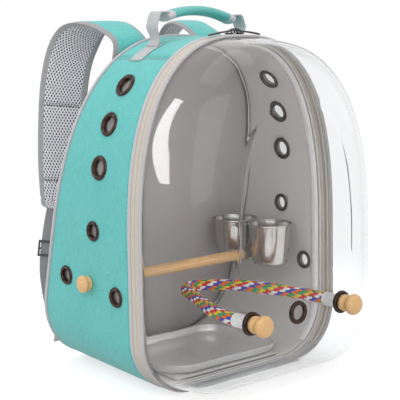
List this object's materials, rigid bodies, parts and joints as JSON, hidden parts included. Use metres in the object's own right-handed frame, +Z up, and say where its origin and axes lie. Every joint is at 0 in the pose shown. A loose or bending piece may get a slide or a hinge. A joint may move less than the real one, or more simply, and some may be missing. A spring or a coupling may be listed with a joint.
{
  "type": "bird travel carrier",
  "caption": "Arched backpack carrier for a small bird: fabric shell, clear domed door that folds down, side eyelets, dowel and rope perches, steel food cups and a lift-out floor tray.",
  "frame": {"origin": "middle of the fabric shell's flat base, on the surface it stands on", "axes": "+Z up, -Y towards the clear door, +X to the right as seen from in front of the door"},
  "size_m": [0.3466, 0.4095, 0.4615],
  "materials": {
    "melange_cloth": "matte woven melange cloth over foam",
    "grey_lining": "matte woven cloth",
    "stiffener": "matte sheet",
    "air_mesh": "knitted spacer mesh",
    "light_binding": "grosgrain",
    "beige_tape": "woven zip tape",
    "dark_plastic": "moulded, matte",
    "grey_webbing": "ribbed webbing",
    "teal_grip": "soft moulded grip",
    "copper_eyelet": "dark copper plating",
    "dark_mesh": "stiff woven mesh",
    "pale_wood": "turned, waxed",
    "stainless": "polished stainless steel",
    "clear_dome": "clear moulded polycarbonate",
    "braided_cord": "six-colour braid over a bendable core",
    "white_plastic": "moulded, glossy",
    "black_pull": "moulded over zinc"
  },
  "bodies": {
    "shell": {"side_panel_left": "melange_cloth", "side_panel_right": "melange_cloth", "top_panel": "melange_cloth", "base_panel": "melange_cloth", "side_lining": "grey_lining", "back_panel": "melange_cloth", "back_board": "stiffener", "back_lining": "grey_lining", "back_pad": "air_mesh", "back_piping": "light_binding", "rim_binding": "light_binding", "zip_tape_shell": "beige_tape", "zip_teeth_shell": "dark_plastic", "corner_gussets": "light_binding", "floor_board": "stiffener", "floor_mat": "grey_lining", "side_eyelets_left": "copper_eyelet", "side_eyelets_right": "copper_eyelet", "side_screens": "dark_mesh", "perch_dowel": "pale_wood", "perch_screws": "stainless", "cup_bracket": "stainless", "handle_patches": "light_binding", "strap_bottom_tabs": "light_binding", "strap_top_tabs": "light_binding"},
    "fold": {"door_fold": "melange_cloth"},
    "door": {"dome": "clear_dome", "door_binding": "light_binding", "zip_tape_door": "beige_tape", "zip_teeth_door": "dark_plastic", "door_eyelets": "copper_eyelet", "door_screen": "dark_mesh", "rope_perch": "braided_cord", "rope_ferrules": "white_plastic", "rope_studs": "stainless"},
    "rope_knob_left": {"rope_knob_left": "pale_wood"},
    "rope_knob_right": {"rope_knob_right": "pale_wood"},
    "perch_knob_left": {"perch_knob_left": "pale_wood"},
    "perch_knob_right": {"perch_knob_right": "pale_wood"},
    "wing_nut": {"wing_nut": "stainless"},
    "cup_front": {"cup_front": "stainless"},
    "cup_rear": {"cup_rear": "stainless"},
    "tray": {"tray": "stainless"},
    "handle": {"handle_webbing": "grey_webbing", "handle_grip": "teal_grip"},
    "strap_left": {"strap_pad_left": "air_mesh", "strap_webbing_left": "grey_webbing"},
    "strap_right": {"strap_pad_right": "air_mesh", "strap_webbing_right": "grey_webbing"},
    "strap_adjuster_left": {"strap_adjuster_left": "dark_plastic"},
    "strap_adjuster_right": {"strap_adjuster_right": "dark_plastic"},
    "zip_slider_left": {"zip_slider_left": "black_pull"},
    "zip_slider_right": {"zip_slider_right": "black_pull"},
    "zip_pull_left": {"zip_pull_left": "black_pull"},
    "zip_pull_right": {"zip_pull_right": "black_pull"}
  },
  "joints": [
    {"name": "fold_swing", "type": "hinge", "parent": "shell", "child": "fold", "pos_m": [0, -0.1025, 0.0012], "axis": [-1, 0, 0], "range_deg": [0, 51]},
    {"name": "door_swing", "type": "hinge", "parent": "fold", "child": "door", "pos_m": [0, -0.1305, 0.0012], "axis": [1, 0, 0], "range_deg": [0, 85]},
    {"name": "rope_knob_turn_left", "type": "hinge", "parent": "door", "child": "rope_knob_left", "pos_m": [-0.075, -0.1455, 0.097], "axis": [0, -1, 0], "continuous": true},
    {"name": "rope_knob_turn_right", "type": "hinge", "parent": "door", "child": "rope_knob_right", "pos_m": [0.075, -0.1455, 0.097], "axis": [0, -1, 0], "continuous": true},
    {"name": "perch_knob_turn_left", "type": "hinge", "parent": "shell", "child": "perch_knob_left", "pos_m": [-0.165, -0.0185, 0.127], "axis": [-1, 0, 0], "continuous": true},
    {"name": "perch_knob_turn_right", "type": "hinge", "parent": "shell", "child": "perch_knob_right", "pos_m": [0.165, -0.0185, 0.127], "axis": [1, 0, 0], "continuous": true},
    {"name": "wing_nut_turn", "type": "hinge", "parent": "shell", "child": "wing_nut", "pos_m": [0.094, -0.0185, 0.166], "axis": [1, 0, 0], "continuous": true},
    {"name": "cup_front_lift", "type": "slide", "parent": "shell", "child": "cup_front", "axis": [0, 0, 1], "range_m": [0, 0.06]},
    {"name": "cup_rear_lift", "type": "slide", "parent": "shell", "child": "cup_rear", "axis": [0, 0, 1], "range_m": [0, 0.008]},
    {"name": "tray_lift", "type": "slide", "parent": "shell", "child": "tray", "axis": [0, 0, 1], "range_m": [0, 0.03]},
    {"name": "handle_swing", "type": "hinge", "parent": "shell", "child": "handle", "pos_m": [0, -0.0415, 0.41362], "axis": [1, 0, 0], "range_deg": [-40, 40]},
    {"name": "strap_swing_left", "type": "hinge", "parent": "shell", "child": "strap_left", "pos_m": [-0.066, 0.00903, 0.412], "axis": [0.16, -0.2412, 0.9572], "range_deg": [-6, 6]},
    {"name": "strap_swing_right", "type": "hinge", "parent": "shell", "child": "strap_right", "pos_m": [0.066, 0.00903, 0.412], "axis": [-0.16, -0.2412, 0.9572], "range_deg": [-6, 6]},
    {"name": "strap_adjuster_slide_left", "type": "slide", "parent": "strap_left", "child": "strap_adjuster_left", "axis": [-0.2628, -0.1723, -0.9493], "range_m": [-0.005, 0.005]},
    {"name": "strap_adjuster_slide_right", "type": "slide", "parent": "strap_right", "child": "strap_adjuster_right", "axis": [0.2628, -0.1723, -0.9493], "range_m": [-0.005, 0.005]},
    {"name": "zip_slide_left", "type": "slide", "parent": "shell", "child": "zip_slider_left", "axis": [-1, 0, 0], "range_m": [0, 0.02]},
    {"name": "zip_slide_right", "type": "slide", "parent": "shell", "child": "zip_slider_right", "axis": [1, 0, 0], "range_m": [0, 0.02]},
    {"name": "zip_pull_flip_left", "type": "hinge", "parent": "zip_slider_left", "child": "zip_pull_left", "pos_m": [-0.0049, -0.11, 0.4268], "axis": [0, 1, 0], "range_deg": [0, 100]},
    {"name": "zip_pull_flip_right", "type": "hinge", "parent": "zip_slider_right", "child": "zip_pull_right", "pos_m": [0.0049, -0.11, 0.4268], "axis": [0, -1, 0], "range_deg": [0, 100]}
  ],
  "couplings": [
    {"joint": "fold_swing", "follows": "door_swing", "ratio": 0.6}
  ]
}
